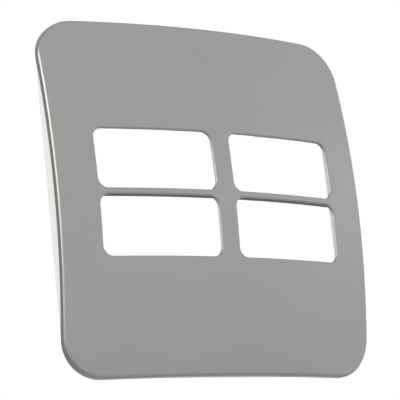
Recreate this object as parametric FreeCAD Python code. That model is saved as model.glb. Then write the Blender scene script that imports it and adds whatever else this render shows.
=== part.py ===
# Four-module cover plate for a wall-mounted grid of switches.
#
# Two pieces: a pressed sheet-metal cover, domed like part of a ball and turned back round
# its edge, and a moulded plastic frame that carries it, lines it and clips to the grid.
#
# Frame: millimetres, upright as on a wall. X runs to the right, Z runs up, and the front
# faces -Y. The origin is the middle of the plate in the plane of the wall, Y = 0.

import FreeCAD, Part
import math
import os

from FreeCAD import Vector

# Cover outline and dome
COVER_WIDTH = 120.0
COVER_HEIGHT = 120.0
CORNER_RADIUS = 13.5
DOME_RADIUS = 260.0          # of the ball that the front is part of
FOOT_HEIGHT = 0.2            # of the turned-back edge above the wall, at the corners

# Cover sheet and edge
SHEET = 1.5
SKIRT_DEPTH = 3.0            # of the turned-back edge, along Y, measured from the dome
EDGE_ROUND = 1.4             # outside radius of the bend round the edge

# Module openings, two columns by two rows
OPENING_WIDTH = 43.0
OPENING_HEIGHT = 20.3
OPENING_RADIUS = 3.4
POST_WIDTH = 6.8             # of the upright strip between the columns
BAR_HEIGHT = 2.1             # of the strip between the rows
TAB_DEPTH = 3.6              # of the stiffening tab behind the bar, along Y from the dome
TAB_END_GAP = 0.2            # from each end of a tab to the side of its opening

# Carrier frame
FIT_GAP = 0.15               # between the frame and the inside of the cover
LINING = 1.6                 # thickness of the frame behind the dome
RIM_WALL = 1.8               # thickness of the frame's outer wall
LEDGE_INSET = 0.8            # of the ledge's side from the cover's side
WINDOW_SIDE_MARGIN = 5.2     # from the openings out to the frame's window, sideways
WINDOW_END_MARGIN = 4.5      # the same, up and down
WINDOW_RADIUS = 3.0
WINDOW_WALL = 1.5            # thickness of the wall round the window
STAND_OFF = 2.0              # from the wall of the room to the window wall and the ribs
RIB = 1.2
END_RIB_SPACING = 30.0       # sideways, between the ribs above and below the window
END_RIB_COUNT = 3
SIDE_RIB_SPACING = 26.0      # upwards, between the ribs beside the window
SIDE_RIB_COUNT = 2

# Clips on the window wall
CLIP_WIDTH = 9.0
CLIP_SPACING = 56.0          # between the middles of two clips in a row
CLIP_SLOT = 1.4              # on each side of a clip, so that it can bend
CLIP_END_GAP = 0.6           # from the wall of the room to the clip's tip
CLIP_HOOK = 0.9              # how far the hook reaches into the window
CLIP_HOOK_RISE = 2.4         # length of the hook along Y

# Derived places
CORNER_REACH = math.hypot(
    COVER_WIDTH / 2.0 - CORNER_RADIUS, COVER_HEIGHT / 2.0 - CORNER_RADIUS
) + CORNER_RADIUS
DOME_DROP = DOME_RADIUS - math.sqrt(DOME_RADIUS ** 2 - CORNER_REACH ** 2)
CROWN_HEIGHT = FOOT_HEIGHT + SKIRT_DEPTH + DOME_DROP
IN_FRONT = -3.0 * CROWN_HEIGHT
HALF_BAR = BAR_HEIGHT / 2.0
HALF_POST = POST_WIDTH / 2.0
FIELD_HALF_WIDTH = HALF_POST + OPENING_WIDTH
FIELD_HALF_HEIGHT = HALF_BAR + OPENING_HEIGHT
FRAME_INSET = SHEET + FIT_GAP
WINDOW_HALF_WIDTH = FIELD_HALF_WIDTH + WINDOW_SIDE_MARGIN
WINDOW_HALF_HEIGHT = FIELD_HALF_HEIGHT + WINDOW_END_MARGIN


def rounded_prism(half_width, half_height, radius, y_low, y_high, centre_x=0.0, centre_z=0.0):
    """Bar along Y whose section in X and Z is a rectangle with rounded corners."""
    straight_x = half_width - radius
    straight_z = half_height - radius
    corners = ((1, 1), (-1, 1), (-1, -1), (1, -1))
    edges = []
    ends = []
    for index, (side_x, side_z) in enumerate(corners):
        centre = Vector(centre_x + side_x * straight_x, y_low, centre_z + side_z * straight_z)
        start = math.radians(90 * index)
        points = []
        for part in (0.0, 0.5, 1.0):
            angle = start + part * math.pi / 2.0
            points.append(centre + Vector(radius * math.cos(angle), 0, radius * math.sin(angle)))
        edges.append(Part.Arc(*points).toShape())
        ends.append((points[0], points[2]))
    outline = []
    for index, edge in enumerate(edges):
        outline.append(edge)
        leave = ends[index][1]
        arrive = ends[(index + 1) % len(ends)][0]
        outline.append(Part.LineSegment(leave, arrive).toShape())
    face = Part.Face(Part.Wire(outline))
    return face.extrude(Vector(0, y_high - y_low, 0))


def block(x_low, x_high, y_low, y_high, z_low, z_high):
    """Plain block between two corners."""
    size = (x_high - x_low, y_high - y_low, z_high - z_low)
    return Part.makeBox(*size, Vector(x_low, y_low, z_low))


def dome_y(x, z, depth=0.0):
    """Y of the dome, offset inwards by depth, at a place of the plate."""
    radius = DOME_RADIUS - depth
    return DOME_RADIUS - CROWN_HEIGHT - math.sqrt(radius * radius - x * x - z * z)


def ball(depth):
    """The ball behind the cover's front, offset inwards by depth."""
    return Part.makeSphere(DOME_RADIUS - depth, Vector(0, DOME_RADIUS - CROWN_HEIGHT, 0))


def moved_back(shape, distance):
    """Copy of a shape, moved towards the wall."""
    copy = shape.copy()
    copy.translate(Vector(0, distance, 0))
    return copy


def cover_prism(inset, y_high=CROWN_HEIGHT):
    """The cover's outline, drawn in by inset on all sides and carried through the plate."""
    return rounded_prism(
        COVER_WIDTH / 2.0 - inset, COVER_HEIGHT / 2.0 - inset, CORNER_RADIUS - inset, IN_FRONT, y_high
    )


def front_edges(shape):
    """Edges where the front of the dome meets the cover's outline."""
    found = []
    for edge in shape.Edges:
        middle = edge.valueAt((edge.FirstParameter + edge.LastParameter) / 2.0)
        corner_x = max(abs(middle.x) - (COVER_WIDTH / 2.0 - CORNER_RADIUS), 0.0)
        corner_z = max(abs(middle.z) - (COVER_HEIGHT / 2.0 - CORNER_RADIUS), 0.0)
        on_outline = abs(math.hypot(corner_x, corner_z) - CORNER_RADIUS) < 0.01
        if on_outline and abs(middle.y - dome_y(middle.x, middle.z)) < 0.05:
            found.append(edge)
    return found


def opening_centres():
    """Middle of each module opening, as X and Z."""
    offset_x = HALF_POST + OPENING_WIDTH / 2.0
    offset_z = HALF_BAR + OPENING_HEIGHT / 2.0
    centres = []
    for side_z in (1, -1):
        for side_x in (-1, 1):
            centres.append((side_x * offset_x, side_z * offset_z))
    return centres


def punch(centre_x, centre_z):
    """Tool that cuts one opening."""
    return rounded_prism(
        OPENING_WIDTH / 2.0, OPENING_HEIGHT / 2.0, OPENING_RADIUS, IN_FRONT, 0.0, centre_x, centre_z
    )


def stiffening_tab(centre_x):
    """Strip of sheet left on a lower opening's top side and folded straight back."""
    half_length = OPENING_WIDTH / 2.0 - TAB_END_GAP
    strip = block(centre_x - half_length, centre_x + half_length, IN_FRONT, 0.0,
                  -HALF_BAR, -HALF_BAR + SHEET)
    front = ball(SHEET / 2.0)
    return strip.common(front).cut(moved_back(ball(0.0), TAB_DEPTH))


def cover():
    """Domed sheet, turned back round its edge, with its openings and tabs.

    The bend is round outside only. Its inside, which the frame hides, is left as a corner.
    """
    blank = cover_prism(0.0).common(ball(0.0))
    blank = blank.cut(moved_back(ball(0.0), SKIRT_DEPTH))
    blank = blank.makeFillet(EDGE_ROUND, front_edges(blank))
    hollow = cover_prism(SHEET).common(ball(SHEET))
    shell = blank.cut(hollow)
    for centre_x, centre_z in opening_centres():
        shell = shell.cut(punch(centre_x, centre_z))
    for side_x in (-1, 1):
        shell = shell.fuse(stiffening_tab(side_x * (HALF_POST + OPENING_WIDTH / 2.0)))
    return shell.removeSplitter()


def rim_block():
    """The frame's outside, filled: its lining's front and the outer face of its rim wall."""
    return cover_prism(FRAME_INSET, 0.0).common(ball(FRAME_INSET))


def seat_ledge():
    """Band just inside the cover's side, which the foot of the skirt stands on."""
    outside = cover_prism(LEDGE_INSET, 0.0)
    inside = cover_prism(FRAME_INSET + RIM_WALL / 2.0, 0.0)
    return outside.cut(inside).common(moved_back(ball(0.0), SKIRT_DEPTH))


def window():
    """Tool that opens the frame behind the module openings."""
    return rounded_prism(WINDOW_HALF_WIDTH, WINDOW_HALF_HEIGHT, WINDOW_RADIUS, IN_FRONT, CROWN_HEIGHT)


def window_wall():
    """Wall round the window, from the lining back to just short of the wall of the room."""
    outside = rounded_prism(
        WINDOW_HALF_WIDTH + WINDOW_WALL, WINDOW_HALF_HEIGHT + WINDOW_WALL,
        WINDOW_RADIUS + WINDOW_WALL, IN_FRONT, -STAND_OFF
    )
    return outside.cut(window()).common(ball(FRAME_INSET + LINING / 2.0))


def spaced(count, spacing):
    """Places of a centred row."""
    return [(index - (count - 1) / 2.0) * spacing for index in range(count)]


def ribs():
    """Stiffening ribs between the window wall and the rim wall."""
    far_x = COVER_WIDTH / 2.0 - FRAME_INSET - RIM_WALL / 2.0
    far_z = COVER_HEIGHT / 2.0 - FRAME_INSET - RIM_WALL / 2.0
    near_x = WINDOW_HALF_WIDTH + WINDOW_WALL / 2.0
    near_z = WINDOW_HALF_HEIGHT + WINDOW_WALL / 2.0
    found = []
    for side in (-1, 1):
        for x in spaced(END_RIB_COUNT, END_RIB_SPACING):
            low, high = sorted((side * near_z, side * far_z))
            found.append(block(x - RIB / 2.0, x + RIB / 2.0, IN_FRONT, -STAND_OFF, low, high))
        for z in spaced(SIDE_RIB_COUNT, SIDE_RIB_SPACING):
            low, high = sorted((side * near_x, side * far_x))
            found.append(block(low, high, IN_FRONT, -STAND_OFF, z - RIB / 2.0, z + RIB / 2.0))
    front = ball(FRAME_INSET + LINING / 2.0)
    return [rib.common(front) for rib in found]


def clip(centre_x, side):
    """Bending leg of the window wall, with a hook that reaches into the window."""
    inner = WINDOW_HALF_HEIGHT
    outer = WINDOW_HALF_HEIGHT + WINDOW_WALL
    tip = -CLIP_END_GAP
    leg_start = -STAND_OFF - WINDOW_WALL
    outline = [
        (leg_start, inner),
        (tip - CLIP_HOOK_RISE, inner),
        (tip - CLIP_HOOK_RISE + CLIP_HOOK, inner - CLIP_HOOK),
        (tip - CLIP_HOOK / 2.0, inner - CLIP_HOOK),
        (tip, inner),
        (tip, outer),
        (leg_start, outer),
        (leg_start, inner),
    ]
    wire = Part.makePolygon([Vector(centre_x - CLIP_WIDTH / 2.0, y, side * z) for y, z in outline])
    return Part.Face(wire).extrude(Vector(CLIP_WIDTH, 0, 0))


def clip_slots(centre_x, side):
    """Two slots in the window wall that free a clip's leg."""
    front_y = dome_y(centre_x + CLIP_WIDTH, WINDOW_HALF_HEIGHT, FRAME_INSET + LINING) + WINDOW_WALL
    near = side * (WINDOW_HALF_HEIGHT - WINDOW_WALL)
    far = side * (WINDOW_HALF_HEIGHT + 2.0 * WINDOW_WALL)
    low, high = sorted((near, far))
    slots = []
    for end in (-1, 1):
        edge = centre_x + end * CLIP_WIDTH / 2.0
        x_low, x_high = sorted((edge, edge + end * CLIP_SLOT))
        slots.append(block(x_low, x_high, front_y, 0.0, low, high))
    return slots


def frame():
    """Moulded carrier: lining, rim wall and ledge, window with its wall, ribs and clips."""
    cavity = cover_prism(FRAME_INSET + RIM_WALL).common(ball(FRAME_INSET + LINING))
    body = rim_block().cut(cavity).cut(window())
    body = body.fuse([seat_ledge(), window_wall()] + ribs())
    for side in (-1, 1):
        for x in spaced(2, CLIP_SPACING):
            for slot in clip_slots(x, side):
                body = body.cut(slot)
            body = body.fuse(clip(x, side))
    return body.removeSplitter()


PIECES = {
    "cover": cover,
    "back_frame": frame,
}

os.makedirs("parts", exist_ok=True)
for node, make in PIECES.items():
    shape = make()
    shape.exportStep("parts/" + node + ".step")
    print(node, "solids", len(shape.Solids), "volume", round(shape.Volume, 1), "valid", shape.isValid())
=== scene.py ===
import math

import bmesh
import bpy
import numpy as np
from mathutils import Matrix, Vector


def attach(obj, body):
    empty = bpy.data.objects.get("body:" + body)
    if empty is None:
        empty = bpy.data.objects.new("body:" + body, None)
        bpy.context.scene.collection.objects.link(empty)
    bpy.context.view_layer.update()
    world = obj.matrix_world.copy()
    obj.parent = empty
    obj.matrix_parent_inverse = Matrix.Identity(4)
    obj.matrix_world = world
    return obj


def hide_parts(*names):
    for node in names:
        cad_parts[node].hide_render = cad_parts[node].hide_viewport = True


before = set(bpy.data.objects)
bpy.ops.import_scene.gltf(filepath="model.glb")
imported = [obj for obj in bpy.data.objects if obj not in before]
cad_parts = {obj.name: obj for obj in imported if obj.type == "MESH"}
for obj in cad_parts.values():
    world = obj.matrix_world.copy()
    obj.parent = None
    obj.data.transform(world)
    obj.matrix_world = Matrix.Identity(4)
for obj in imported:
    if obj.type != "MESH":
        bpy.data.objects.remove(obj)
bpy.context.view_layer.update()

# Cover
# Pressed sheet of 1.5 mm satin steel, domed like part of a ball, its edge bent back in one smooth
# roll that stands on the plastic frame. The four module openings are punched, which leaves a
# slightly rolled front edge and a raw, darker cut wall.
MM = 0.001  # the pieces' sizes are in millimetres, and their meshes in metres
PLATE_HALF = 60.0
PLATE_CORNER = 13.5
BALL_RADIUS = 260.0
SHEET = 1.5
SKIRT = 3.0
BEND = 1.4
FOOT_HEIGHT = 0.2
FOOT_ROUND = 0.2
PUNCH_ROUND = 0.6

OPENING_LEFT = 3.4
OPENING_RIGHT = 46.4
OPENING_LOW = 1.05
OPENING_HIGH = 21.35
OPENING_CORNER = 3.4

corner_reach = math.hypot(PLATE_HALF - PLATE_CORNER, PLATE_HALF - PLATE_CORNER) + PLATE_CORNER
ball_drop = BALL_RADIUS - math.sqrt(BALL_RADIUS ** 2 - corner_reach ** 2)
ball_centre = np.array([0.0, BALL_RADIUS - FOOT_HEIGHT - SKIRT - ball_drop, 0.0])


def on_dome(flat, depth=0.0):
    """Points of the front, sunk by depth: y is the ball's centre less the root of the
    squared radius less x squared less z squared."""
    radius = BALL_RADIUS - depth
    y = ball_centre[1] - np.sqrt(radius ** 2 - flat[..., 0] ** 2 - flat[..., 1] ** 2)
    return np.stack([flat[..., 0], y, flat[..., 1]], axis=-1)


def arc(centre, radius, start, end, count):
    """Flat points on a circle's arc: the centre plus radius times cosine and sine."""
    turn = np.radians(np.linspace(start, end, count))
    x = centre[0] + radius * np.cos(turn)
    z = centre[1] + radius * np.sin(turn)
    return np.stack([x, z], axis=-1)


def run(start, end, count):
    """Flat points from start to end, evenly spaced, without the last one."""
    share = np.linspace(0.0, 1.0, count + 1)[:-1, None]
    return np.array(start) + (np.array(end) - np.array(start)) * share


def rolled_edge(outline, outward, count):
    """Rolled bend along the outline. A ball of the bend's radius runs inside the dome and the
    side wall: each row is its centre plus its radius times a direction that turns from square
    to the dome to square to the wall."""
    middle = on_dome(outline - outward * BEND, BEND)
    from_centre = middle - ball_centre
    to_dome = from_centre / np.linalg.norm(from_centre, axis=-1, keepdims=True)
    to_wall = np.stack([outward[:, 0], np.zeros(len(outward)), outward[:, 1]], axis=-1)
    whole = np.arccos(np.clip((to_dome * to_wall).sum(-1), -1.0, 1.0))[:, None]
    rows = []
    for share in np.linspace(0.0, 1.0, count):
        turned = np.sin((1.0 - share) * whole) * to_dome + np.sin(share * whole) * to_wall
        rows.append(middle + BEND * turned / np.sin(whole))
    return rows


# One quarter of the plate is made, then mirrored. Its stations run once round the opening,
# and each has a partner on the quarter's own border: the plate's middle lines or its rim.
SIDE_STEPS = 24
ROUND_STEPS = 24
HALF_STEPS = ROUND_STEPS // 2
RIM_STEPS = 6
TURN_STEPS = ROUND_STEPS - 2 * RIM_STEPS
BEND_ROWS = 13
straight_x = OPENING_RIGHT - OPENING_CORNER
straight_z = OPENING_HIGH - OPENING_CORNER
near_x = OPENING_LEFT + OPENING_CORNER
near_z = OPENING_LOW + OPENING_CORNER
rim_straight = PLATE_HALF - PLATE_CORNER


def opening_loop(grow):
    """The opening's outline, grown outwards: four straight sides joined by quarter circles."""
    radius = OPENING_CORNER + grow
    left, right = OPENING_LEFT - grow, OPENING_RIGHT + grow
    low, high = OPENING_LOW - grow, OPENING_HIGH + grow
    sides = [
        run((near_x, low), (straight_x, low), SIDE_STEPS),
        arc((straight_x, near_z), radius, -90, 0, ROUND_STEPS + 1)[:-1],
        run((right, near_z), (right, straight_z), SIDE_STEPS),
        arc((straight_x, straight_z), radius, 0, 90, ROUND_STEPS + 1)[:-1],
        run((straight_x, high), (near_x, high), SIDE_STEPS),
        arc((near_x, straight_z), radius, 90, 180, ROUND_STEPS + 1)[:-1],
        run((left, straight_z), (left, near_z), SIDE_STEPS),
        arc((near_x, near_z), radius, 180, 270, ROUND_STEPS + 1)[:-1],
    ]
    return np.concatenate(sides)


rim_parts = [
    run((PLATE_HALF, 0.0), (PLATE_HALF, near_z), HALF_STEPS),
    run((PLATE_HALF, near_z), (PLATE_HALF, straight_z), SIDE_STEPS),
    run((PLATE_HALF, straight_z), (PLATE_HALF, rim_straight), RIM_STEPS),
    arc((rim_straight, rim_straight), PLATE_CORNER, 0, 90, TURN_STEPS + 1)[:-1],
    run((rim_straight, PLATE_HALF), (straight_x, PLATE_HALF), RIM_STEPS),
    run((straight_x, PLATE_HALF), (near_x, PLATE_HALF), SIDE_STEPS),
    run((near_x, PLATE_HALF), (0.0, PLATE_HALF), HALF_STEPS),
    np.array([[0.0, PLATE_HALF]]),
]
rim = np.concatenate(rim_parts)
from_turn = rim - np.minimum(rim, rim_straight)
rim_out = from_turn / np.linalg.norm(from_turn, axis=-1, keepdims=True)
bend_rows = rolled_edge(rim, rim_out, BEND_ROWS)


def border_loop(rim_flat):
    """The quarter's border in step with the opening's outline: along the level middle line,
    round the rim, and back down the upright middle line."""
    right = rim_flat[0]
    top = rim_flat[-1]
    parts = [
        run((near_x, 0.0), (straight_x, 0.0), SIDE_STEPS),
        run((straight_x, 0.0), right, HALF_STEPS),
        rim_flat,
        run(top, (0.0, straight_z), HALF_STEPS)[1:],
        run((0.0, straight_z), (0.0, near_z), SIDE_STEPS),
        run((0.0, near_z), (0.0, 0.0), HALF_STEPS),
        run((0.0, 0.0), (near_x, 0.0), HALF_STEPS),
    ]
    return np.concatenate(parts)


def ring(inner, outer, depth, count):
    """Dome between two loops: rows at shares of half of one less the cosine, so that they
    draw together at both ends, each raised to the dome."""
    rows = []
    for share in (1.0 - np.cos(np.linspace(0.0, math.pi, count))) / 2.0:
        rows.append(on_dome(inner + (outer - inner) * share, depth))
    return rows


# Rows of the front, of the rolled punch edge, which is an arc of a quarter circle, and of the
# back. The cut wall lies between the last two.
FRONT_ROWS = 34
LIP_ROWS = 6
BACK_ROWS = 22
inside = rim - rim_out * SHEET
front_rows = ring(opening_loop(PUNCH_ROUND), border_loop(bend_rows[0][:, [0, 2]]), 0.0, FRONT_ROWS)
back_rows = ring(opening_loop(0.0), border_loop(inside), SHEET, BACK_ROWS)
lip_rows = []
for angle in np.radians(np.linspace(90.0, 0.0, LIP_ROWS)):
    lip = on_dome(opening_loop(PUNCH_ROUND * (1.0 - math.cos(angle))))
    lip[:, 1] += PUNCH_ROUND * (1.0 - math.sin(angle))
    lip_rows.append(lip)

# Rows of the side, down from the bend and round the foot, which is the same kind of arc. Then
# come the flat of the foot and the inside of the side.
SIDE_SHARES = (0.35, 0.7)
FOOT_ROWS = 5
foot_y = on_dome(rim)[:, 1] + SKIRT
side_rows = [bend_rows[-1]]
for share in SIDE_SHARES:
    side = bend_rows[-1].copy()
    side[:, 1] += (foot_y - FOOT_ROUND - side[:, 1]) * share
    side_rows.append(side)
for angle in np.radians(np.linspace(0.0, 90.0, FOOT_ROWS)):
    flat = rim - rim_out * FOOT_ROUND * (1.0 - math.cos(angle))
    y = foot_y - FOOT_ROUND * (1.0 - math.sin(angle))
    side_rows.append(np.stack([flat[:, 0], y, flat[:, 1]], axis=-1))
foot_end = np.stack([inside[:, 0], foot_y, inside[:, 1]], axis=-1)

# The finishes by their places in the mesh's list of materials.
FACE, CUT, BACK = 0, 1, 2
quarter_points = []
quarter_faces = []
quarter_kinds = []
# Per-point shares of painted shade on the rolled edge and of painted highlight on the cut wall.
quarter_painted_shade = []
quarter_painted_lit = []


def add_rows(rows, closed, kind, turned=0.0, painted_lit_share=0.0):
    """Puts a grid of rows into the quarter's mesh, with one four-sided face per cell. The fourth
    argument is each point's share of painted shade on the rolled edge, and the fifth its share
    of painted highlight at the cut wall's upright ends."""
    base = sum(len(points) for points in quarter_points)
    grid = np.stack(rows)
    count_v, count_u = grid.shape[:2]
    quarter_points.append(grid.reshape(-1, 3))
    stations = np.arange(count_u if closed else count_u - 1)
    beside = (stations + 1) % count_u
    down = np.arange(count_v - 1)[:, None] * count_u
    corners = (down + stations, down + beside, down + count_u + beside, down + count_u + stations)
    faces = base + np.stack(corners, axis=-1).reshape(-1, 4)
    quarter_faces.append(faces)
    quarter_kinds.append(np.full(len(faces), kind))
    quarter_painted_shade.append(np.broadcast_to(turned, (count_v, count_u)).ravel())
    quarter_painted_lit.append(np.broadcast_to(painted_lit_share, (count_v, count_u)).ravel())


# The cut wall is painted lighter where it stands upright, at an opening's ends: a painted
# highlight of the light from the left. The higher the power, the sooner that fades round the
# corners.
LIT_ENDS_POWER = 6
outline = opening_loop(0.0)
ahead = np.roll(outline, -1, axis=0) - np.roll(outline, 1, axis=0)
painted_lit_ends_share = (np.abs(ahead[:, 1]) / np.linalg.norm(ahead, axis=-1)) ** LIT_ENDS_POWER
add_rows(front_rows, True, FACE)
add_rows(lip_rows, True, FACE, painted_lit_share=painted_lit_ends_share)
add_rows([lip_rows[-1], back_rows[0]], True, CUT, painted_lit_share=painted_lit_ends_share)
add_rows(back_rows, True, BACK, painted_lit_share=painted_lit_ends_share)

# Painted shade on the rolled edge: at the left and right it falls on the side wall and only the
# last of the bend; at the corners and at the top and bottom it begins early on the bend. Each row
# of three shares is in that order.
bend_share = np.linspace(0.0, 1.0, BEND_ROWS)[:, None]
rim_slant = np.abs(rim_out[:, 1])
slants = (0.0, math.sqrt(0.5), 1.0)
shade_ramp_start = np.interp(rim_slant, slants, (0.96, 0.12, 0.12))
shade_ramp_full = np.interp(rim_slant, slants, (1.0, 0.64, 0.48))
side_painted_shade = np.interp(rim_slant, slants, (1.0, 0.80, 0.42))
bend_painted_shade = side_painted_shade * np.clip((bend_share - shade_ramp_start) / (shade_ramp_full - shade_ramp_start), 0.0, 1.0)
add_rows(bend_rows, False, FACE, bend_painted_shade)
add_rows(side_rows, False, FACE, side_painted_shade)
add_rows([side_rows[-1], foot_end], False, CUT)
add_rows([foot_end, on_dome(inside, SHEET)], False, BACK)

# The quarter is mirrored to all four, and points nearer to each other than WELD, in metres, are
# joined. Edges that turn by more than SHARP_EDGE stay sharp.
WELD = 2e-7
SHARP_EDGE = math.radians(50.0)
points = np.concatenate(quarter_points)
faces = np.concatenate(quarter_faces)
kinds = np.concatenate(quarter_kinds)
all_points = []
all_faces = []
for side_x in (1.0, -1.0):
    for side_z in (1.0, -1.0):
        all_faces.append(faces + len(all_points) * len(points))
        all_points.append(points * np.array([side_x, 1.0, side_z]))
cover_mesh = bpy.data.meshes.new("cover_shell")
cover_mesh.from_pydata(np.concatenate(all_points) * MM, [], np.concatenate(all_faces).tolist())
cover_mesh.polygons.foreach_set("material_index", np.tile(kinds, 4))
# The two painted shares are kept on the mesh's points for the materials to read.
for name, shares in (("painted_edge_shade", quarter_painted_shade), ("painted_lit_ends", quarter_painted_lit)):
    kept = cover_mesh.attributes.new(name, "FLOAT", "POINT")
    kept.data.foreach_set("value", np.tile(np.concatenate(shares), 4).astype(np.float32))
sheet = bmesh.new()
sheet.from_mesh(cover_mesh)
bmesh.ops.remove_doubles(sheet, verts=sheet.verts, dist=WELD)
bmesh.ops.recalc_face_normals(sheet, faces=sheet.faces)
sheet.to_mesh(cover_mesh)
sheet.free()
cover_mesh.polygons.foreach_set("use_smooth", np.ones(len(cover_mesh.polygons), dtype=bool))
cover_mesh.set_sharp_from_angle(angle=SHARP_EDGE)
cover = bpy.data.objects.new("cover_shell", cover_mesh)
bpy.context.scene.collection.objects.link(cover)


def linear(code):
    """Linear colour of an sRGB hex code: each value over 255, divided by 12.92 where it is
    small, and otherwise plus 0.055, over 1.055, to the power 2.4."""
    values = np.array([int(code[i:i + 2], 16) for i in (1, 3, 5)]) / 255.0
    flat = np.where(values <= 0.04045, values / 12.92, ((values + 0.055) / 1.055) ** 2.4)
    return tuple(flat) + (1.0,)


def empty_material(name):
    """Material whose nodes are still to be added."""
    material = bpy.data.materials.new(name)
    material.use_nodes = True
    material.node_tree.nodes.clear()
    return material


def add_node(owner, kind, links=(), **settings):
    """Adds a node, sets its properties or sockets by name, and links sockets into it."""
    node = owner.node_tree.nodes.new(kind)
    for name, value in settings.items():
        if hasattr(node, name):
            setattr(node, name, value)
        else:
            node.inputs[name.replace("_", " ")].default_value = value
    for source, target in links:
        owner.node_tree.links.new(source, node.inputs[target])
    return node


# A Mix node has several sockets of each name, so those for colours go by their numbers.
COLOUR_A, COLOUR_B, COLOUR_OUT = 6, 7, 2

# Satin stainless steel, ground with a fine belt from left to right. The ground lines are about
# 0.03 mm apart, too fine for the picture, so they are drawn 0.25 mm apart and very weak. The
# rolled edge and side wall are painted darker, towards #6C6B68, as painted shade.
GROUND_LINES = (40.0, 400.0, 4000.0)  # per metre: 25 mm long, and 0.25 mm apart up the plate
SATIN_CLOUDS = 28.0  # per metre: faint clouds 36 mm wide
satin = empty_material("satin_ground_steel")
place = add_node(satin, "ShaderNodeTexCoord").outputs["Object"]
along = add_node(satin, "ShaderNodeMapping", [(place, "Vector")], Scale=GROUND_LINES)
grain = add_node(
    satin, "ShaderNodeTexNoise", [(along.outputs[0], "Vector")], Scale=1.0, Detail=3.0
)
cloud = add_node(
    satin, "ShaderNodeTexNoise", [(place, "Vector")], Scale=SATIN_CLOUDS, Detail=2.0
)
tone = add_node(satin, "ShaderNodeMix", [(cloud.outputs["Fac"], "Factor")], data_type="RGBA")
tone.inputs[COLOUR_A].default_value = linear("#9A9B98")
tone.inputs[COLOUR_B].default_value = linear("#A0A19E")
# Painted shade and painted dark reflection: the rolled edge and side wall are mixed towards
# #6C6B68 by each point's stored share.
turned = add_node(satin, "ShaderNodeAttribute", attribute_name="painted_edge_shade")
steel = add_node(
    satin, "ShaderNodeMix",
    [(turned.outputs["Fac"], "Factor"), (tone.outputs[COLOUR_OUT], COLOUR_A)],
    data_type="RGBA",
)
steel.inputs[COLOUR_B].default_value = linear("#6C6B68")
gloss = add_node(
    satin, "ShaderNodeMapRange", [(grain.outputs["Fac"], "Value")], To_Min=0.30, To_Max=0.36
)
lines = add_node(
    satin, "ShaderNodeBump", [(grain.outputs["Fac"], "Height")], Strength=0.06, Distance=0.00002
)
metal = add_node(
    satin, "ShaderNodeBsdfPrincipled",
    [(steel.outputs[COLOUR_OUT], "Base Color"), (gloss.outputs[0], "Roughness"),
     (lines.outputs[0], "Normal")],
    Metallic=1.0,
)
add_node(satin, "ShaderNodeOutputMaterial", [(metal.outputs[0], "Surface")])

# Sheared steel: the punch tears the cut wall, which stays matt and keeps a darker sheared tone.
# At an opening's upright ends it is painted lighter, towards #B4B5B6, as a painted highlight.
TEARS = 1800.0  # per metre: 0.55 mm apart
sheared = empty_material("sheared_steel_edge")
place = add_node(sheared, "ShaderNodeTexCoord").outputs["Object"]
torn = add_node(sheared, "ShaderNodeTexNoise", [(place, "Vector")], Scale=TEARS, Detail=3.0)
tone = add_node(sheared, "ShaderNodeMix", [(torn.outputs["Fac"], "Factor")], data_type="RGBA")
tone.inputs[COLOUR_A].default_value = linear("#6F7174")
tone.inputs[COLOUR_B].default_value = linear("#7A7C7E")
# Painted highlight: the upright ends of the cut wall are mixed towards #B4B5B6 by each point's
# stored share.
painted_lit_share = add_node(sheared, "ShaderNodeAttribute", attribute_name="painted_lit_ends")
steel = add_node(
    sheared, "ShaderNodeMix",
    [(painted_lit_share.outputs["Fac"], "Factor"), (tone.outputs[COLOUR_OUT], COLOUR_A)],
    data_type="RGBA",
)
steel.inputs[COLOUR_B].default_value = linear("#B4B5B6")
metal = add_node(
    sheared, "ShaderNodeBsdfPrincipled", [(steel.outputs[COLOUR_OUT], "Base Color")],
    Metallic=1.0, Roughness=0.5,
)
add_node(sheared, "ShaderNodeOutputMaterial", [(metal.outputs[0], "Surface")])

# Mill finish: the back of the sheet is left as rolled, dull and a little mottled.
MOTTLES = 160.0  # per metre: 6 mm wide
rolled = empty_material("mill_finish_steel")
place = add_node(rolled, "ShaderNodeTexCoord").outputs["Object"]
mottle = add_node(rolled, "ShaderNodeTexNoise", [(place, "Vector")], Scale=MOTTLES, Detail=4.0)
tone = add_node(rolled, "ShaderNodeMix", [(mottle.outputs["Fac"], "Factor")], data_type="RGBA")
tone.inputs[COLOUR_A].default_value = linear("#7A7C7E")
tone.inputs[COLOUR_B].default_value = linear("#8A8C8D")
metal = add_node(
    rolled, "ShaderNodeBsdfPrincipled", [(tone.outputs[COLOUR_OUT], "Base Color")],
    Metallic=1.0, Roughness=0.48,
)
add_node(rolled, "ShaderNodeOutputMaterial", [(metal.outputs[0], "Surface")])

for material in (satin, sheared, rolled):
    cover_mesh.materials.append(material)
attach(cover, "root")
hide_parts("cover")

# Stiffening tabs
# Strip of the same sheet left on the top side of each lower opening and folded straight
# back, so that the thin bar between the rows doesn't bend. It is dull, and painted dark as painted
# shade under the bar.
TAB_DEPTH = 3.6
TAB_START = 0.75
TAB_EDGE = 0.12
TAB_ENDS = 0.2
BELOW_BAR = 0.02
TAB_COLUMNS = 25
TAB_ROUND_POINTS = 5
SHARP_TAB_EDGE = math.radians(35.0)
tab_half = (OPENING_RIGHT - OPENING_LEFT) / 2.0 - TAB_ENDS
tab_middle = (OPENING_LEFT + OPENING_RIGHT) / 2.0
tab_low = -OPENING_LOW - BELOW_BAR


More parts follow.
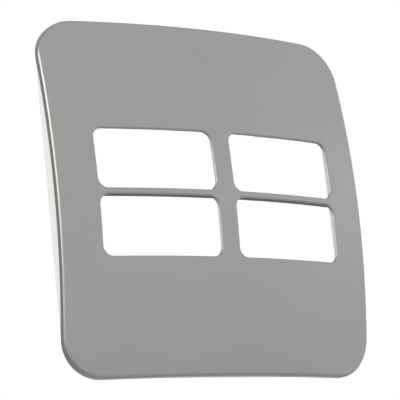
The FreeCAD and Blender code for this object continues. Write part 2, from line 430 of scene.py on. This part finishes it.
def tab_grid(centre_x):
    """Closed strip along X: a rectangle of the sheet's thickness with small rounded corners,
    from just under the front to the tab's depth, carried along and following the dome."""
    corners = []
    for back, high, start in ((1, 1, 0), (0, 1, 90), (0, 0, 180), (1, 0, 270)):
        y = TAB_DEPTH - TAB_EDGE if back else TAB_START + TAB_EDGE
        z = tab_low + (SHEET - TAB_EDGE if high else TAB_EDGE)
        corners.append(arc((y, z), TAB_EDGE, start, start + 90, TAB_ROUND_POINTS))
    section = np.concatenate(corners)
    x = centre_x + np.linspace(-tab_half, tab_half, TAB_COLUMNS)
    flat = np.stack(np.broadcast_arrays(x[:, None], section[None, :, 1]), axis=-1)
    grid = on_dome(flat)
    grid[..., 1] += section[None, :, 0]
    return grid


tab_points = []
tab_faces = []
for centre_x in (-tab_middle, tab_middle):
    grid = tab_grid(centre_x)
    first = sum(len(points) for points in tab_points)
    numbers = first + np.arange(grid.shape[0] * grid.shape[1]).reshape(grid.shape[:2])
    beside = np.roll(numbers, -1, axis=1)
    cells = np.stack([numbers[:-1], beside[:-1], beside[1:], numbers[1:]], axis=-1)
    tab_faces += cells.reshape(-1, 4).tolist() + [numbers[0, ::-1].tolist(), numbers[-1].tolist()]
    tab_points.append(grid.reshape(-1, 3))
tab_mesh = bpy.data.meshes.new("stiffening_tabs")
tab_mesh.from_pydata(np.concatenate(tab_points) * MM, [], tab_faces)
tab_mesh.polygons.foreach_set("use_smooth", np.ones(len(tab_mesh.polygons), dtype=bool))
tab_mesh.set_sharp_from_angle(angle=SHARP_TAB_EDGE)

# Folded steel: stretching roughens the sheet, so the tab is duller than the front. Its dark colour
# is painted shade under the bar.
PEEL = 900.0  # per metre: bumps 1.1 mm apart
folded = empty_material("tab_steel_painted_shade")
place = add_node(folded, "ShaderNodeTexCoord").outputs["Object"]
peel = add_node(folded, "ShaderNodeTexNoise", [(place, "Vector")], Scale=PEEL, Detail=3.0)
tone = add_node(folded, "ShaderNodeMix", [(peel.outputs["Fac"], "Factor")], data_type="RGBA")
tone.inputs[COLOUR_A].default_value = linear("#46484B")
tone.inputs[COLOUR_B].default_value = linear("#56585A")
metal = add_node(
    folded, "ShaderNodeBsdfPrincipled", [(tone.outputs[COLOUR_OUT], "Base Color")],
    Metallic=1.0, Roughness=0.5,
)
add_node(folded, "ShaderNodeOutputMaterial", [(metal.outputs[0], "Surface")])
tab_mesh.materials.append(folded)
tab = bpy.data.objects.new("stiffening_tabs", tab_mesh)
bpy.context.scene.collection.objects.link(tab)
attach(tab, "root")
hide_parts("cover")

# Back frame
# White frame moulded in one piece. It lines the cover, carries its edge on a ledge and clips
# to the grid. The shape is the exact one; only its finish is made here.

# ABS with a fine spark-eroded mould texture of about 0.15 mm: soft white, with a dull sheen.
GRIT = 6500.0  # per metre: 0.15 mm
ABS_CLOUDS = 60.0  # per metre: faint clouds 17 mm wide
moulded = empty_material("white_moulded_abs")
place = add_node(moulded, "ShaderNodeTexCoord").outputs["Object"]
grit = add_node(moulded, "ShaderNodeTexNoise", [(place, "Vector")], Scale=GRIT, Detail=2.0)
cloud = add_node(moulded, "ShaderNodeTexNoise", [(place, "Vector")], Scale=ABS_CLOUDS, Detail=2.0)
tone = add_node(moulded, "ShaderNodeMix", [(cloud.outputs["Fac"], "Factor")], data_type="RGBA")
tone.inputs[COLOUR_A].default_value = linear("#E6E7E2")
tone.inputs[COLOUR_B].default_value = linear("#EDEEE9")
texture = add_node(
    moulded, "ShaderNodeBump", [(grit.outputs["Fac"], "Height")], Strength=0.2, Distance=0.00001
)
plastic = add_node(
    moulded, "ShaderNodeBsdfPrincipled",
    [(tone.outputs[COLOUR_OUT], "Base Color"), (texture.outputs[0], "Normal")],
    Roughness=0.42, IOR=1.52,
)
add_node(moulded, "ShaderNodeOutputMaterial", [(plastic.outputs[0], "Surface")])
back_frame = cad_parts["back_frame"]
back_frame.data.materials.clear()
back_frame.data.materials.append(moulded)

# Studio
# Plain pale floor below the camera and a white surround. A large soft lamp at the left draws
# the bright line on the rolled edge, a faint one at the right lifts that side of the face, and
# the third, high in front, is kept out of the steel's reflections.
FLOOR_REACH = 1.1  # in metres, as every place and size in the studio
FLOOR_Z = -0.35
floor_corners = [
    (-FLOOR_REACH, -FLOOR_REACH, FLOOR_Z), (FLOOR_REACH, -FLOOR_REACH, FLOOR_Z),
    (FLOOR_REACH, FLOOR_REACH, FLOOR_Z), (-FLOOR_REACH, FLOOR_REACH, FLOOR_Z),
]
floor_mesh = bpy.data.meshes.new("studio_floor")
floor_mesh.from_pydata(floor_corners, [], [(0, 1, 2, 3)])
floor = bpy.data.objects.new("studio_floor", floor_mesh)
bpy.context.scene.collection.objects.link(floor)

# Matt paint, nearly white with a touch of blue.
pale = bpy.data.materials.new("pale_floor_paint")
pale.use_nodes = True
paint = pale.node_tree.nodes["Principled BSDF"]
paint.inputs["Base Color"].default_value = linear("#F6F8FD")
paint.inputs["Roughness"].default_value = 0.8
floor_mesh.materials.append(pale)

# The surround is plain white to the camera and in reflections, and softer as a light.
SURROUND_LIGHT = 0.66
SURROUND_WHITE = 1.0
world = bpy.data.worlds.new("white_surround")
bpy.context.scene.world = world
world.use_nodes = True
world.node_tree.nodes.clear()
ray = add_node(world, "ShaderNodeLightPath")
seen = add_node(
    world, "ShaderNodeMath",
    [(ray.outputs["Is Camera Ray"], 0), (ray.outputs["Is Glossy Ray"], 1)],
    operation="MAXIMUM",
)
seen = add_node(
    world, "ShaderNodeMath",
    [(seen.outputs[0], 0), (ray.outputs["Is Transmission Ray"], 1)],
    operation="MAXIMUM",
)
room = add_node(
    world, "ShaderNodeBackground", Color=linear("#FFFFFF"), Strength=SURROUND_LIGHT
)
white = add_node(
    world, "ShaderNodeBackground", Color=linear("#FFFFFF"), Strength=SURROUND_WHITE
)
both = add_node(
    world, "ShaderNodeMixShader",
    [(seen.outputs[0], 0), (room.outputs[0], 1), (white.outputs[0], 2)],
)
add_node(world, "ShaderNodeOutputWorld", [(both.outputs[0], "Surface")])


def lamp(name, place, width, height, power, mirrored=True):
    """Rectangular soft lamp at a place, turned so that it shines at the plate's middle.
    Mirrored says whether glossy surfaces reflect it."""
    light = bpy.data.lights.new(name, "AREA")
    light.shape = "RECTANGLE"
    light.size = width
    light.size_y = height
    light.energy = power
    thing = bpy.data.objects.new(name, light)
    thing.visible_glossy = mirrored
    thing.location = place
    thing.rotation_euler = (-Vector(place)).to_track_quat("-Z", "Y").to_euler()
    bpy.context.scene.collection.objects.link(thing)


lamp("left_softbox", (-1.16, 0.32, 0.49), width=0.9, height=0.5, power=4.4)
lamp("right_softbox", (1.20, -0.60, 0.32), width=1.0, height=0.4, power=0.16)
lamp("high_softbox", (-0.25, -0.75, 1.70), width=0.8, height=0.8, power=5.5, mirrored=False)

# Camera at the photograph's place, found from the plate's edges: 0.69 m away, 34 degrees round
# to the front left and 13 degrees below the plate's middle. Its turns are in radians.
CAMERA_MM = np.array([-374.45, -557.24, -160.32])
CAMERA_YAW = 0.59740
CAMERA_PITCH = 0.21523
CAMERA_ROLL = -0.10783
FOCAL_PIXELS = 2044.06
SHIFT_PIXELS = (17.97, 42.62)
PHOTO_PIXELS = 400.0
forward = np.array([
    math.sin(CAMERA_YAW) * math.cos(CAMERA_PITCH),
    math.cos(CAMERA_YAW) * math.cos(CAMERA_PITCH),
    math.sin(CAMERA_PITCH),
])
level = np.array([math.cos(CAMERA_YAW), -math.sin(CAMERA_YAW), 0.0])
upright = np.cross(level, forward)
right = math.cos(CAMERA_ROLL) * level + math.sin(CAMERA_ROLL) * upright
up = -math.sin(CAMERA_ROLL) * level + math.cos(CAMERA_ROLL) * upright
camera_data = bpy.data.cameras.new("camera")
camera_data.sensor_width = 36.0
camera_data.lens = FOCAL_PIXELS * camera_data.sensor_width / PHOTO_PIXELS
camera_data.shift_x = -SHIFT_PIXELS[0] / PHOTO_PIXELS
camera_data.shift_y = SHIFT_PIXELS[1] / PHOTO_PIXELS
camera_data.clip_start = 0.01
camera_data.clip_end = 20.0
camera = bpy.data.objects.new("camera", camera_data)
columns = np.stack([right, up, -forward, CAMERA_MM * MM], axis=-1)
camera.matrix_world = Matrix(columns.tolist() + [[0.0, 0.0, 0.0, 1.0]])
bpy.context.scene.collection.objects.link(camera)
bpy.context.scene.camera = camera
bpy.context.scene.view_settings.view_transform = "Standard"
